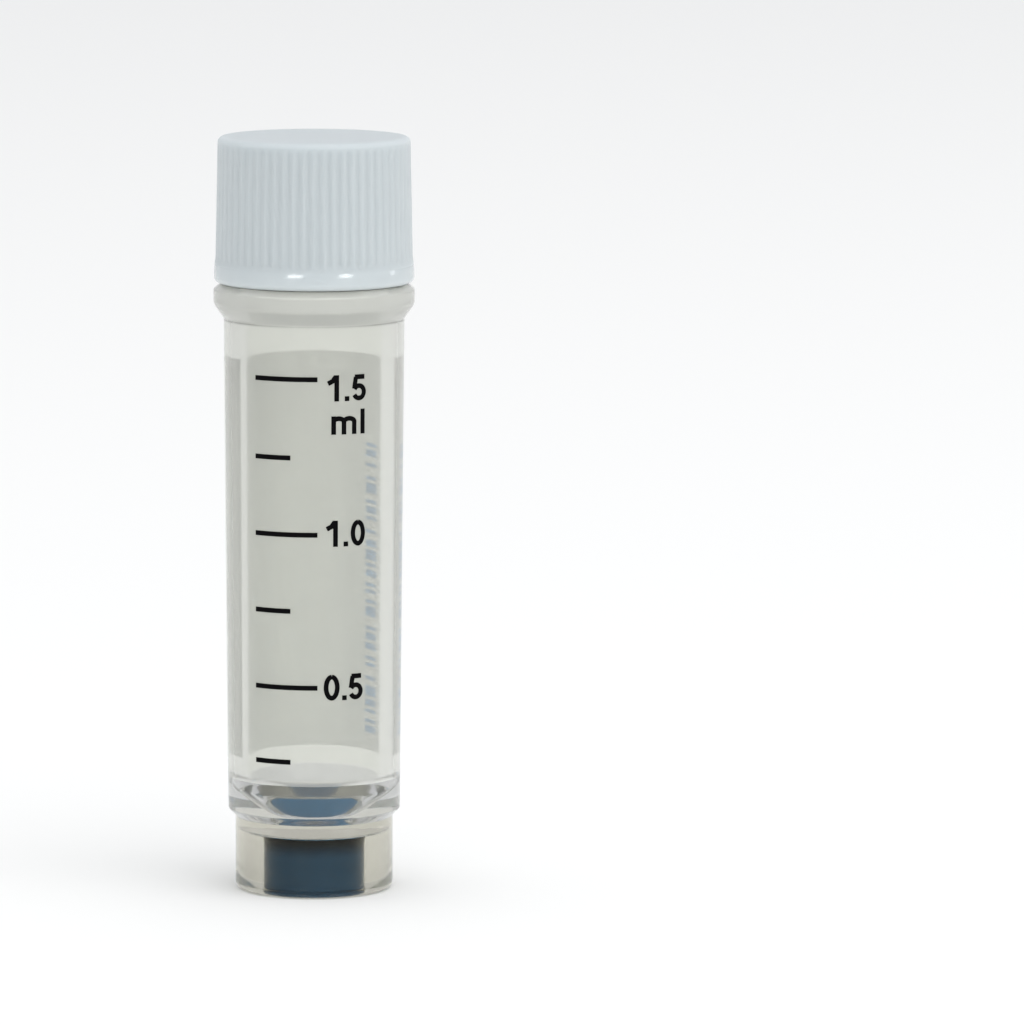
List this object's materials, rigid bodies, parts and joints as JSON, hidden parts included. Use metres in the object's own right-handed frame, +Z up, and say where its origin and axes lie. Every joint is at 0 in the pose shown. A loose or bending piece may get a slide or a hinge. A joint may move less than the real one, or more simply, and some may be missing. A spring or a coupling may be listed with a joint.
{
  "type": "cryovial",
  "caption": "Self-standing cryogenic vial: clear tube with a round-bottomed bore, graduations and a writing panel, a dark base insert and a ribbed screw cap.",
  "frame": {"origin": "middle of the foot's underside, where the vial stands", "axes": "+Z up the tube's axis to the cap; -Y is the side with the graduations"},
  "size_m": [0.0124, 0.0124, 0.0463],
  "materials": {
    "clear_polypropylene": "glossy, slightly milky",
    "cap_polypropylene": "satin, pale bluish white",
    "silicone": "soft matte",
    "insert_plastic": "matte, blue-black"
  },
  "bodies": {
    "tube": {"vial_tube": "clear_polypropylene", "base_insert": "insert_plastic"},
    "washer": {"sealing_washer": "silicone"},
    "cap": {"screw_cap": "cap_polypropylene"}
  },
  "joints": [
    {"name": "cap_lift", "type": "slide", "parent": "tube", "child": "washer", "axis": [0, 0, 1], "range_m": [0, 0.01]},
    {"name": "cap_turn", "type": "hinge", "parent": "washer", "child": "cap", "pos_m": [0, 0, 0.042], "axis": [0, 0, 1], "range_deg": [0, 1800]}
  ],
  "couplings": [
    {"joint": "cap_turn", "follows": "cap_lift", "rad_per_m": 3141.6}
  ]
}
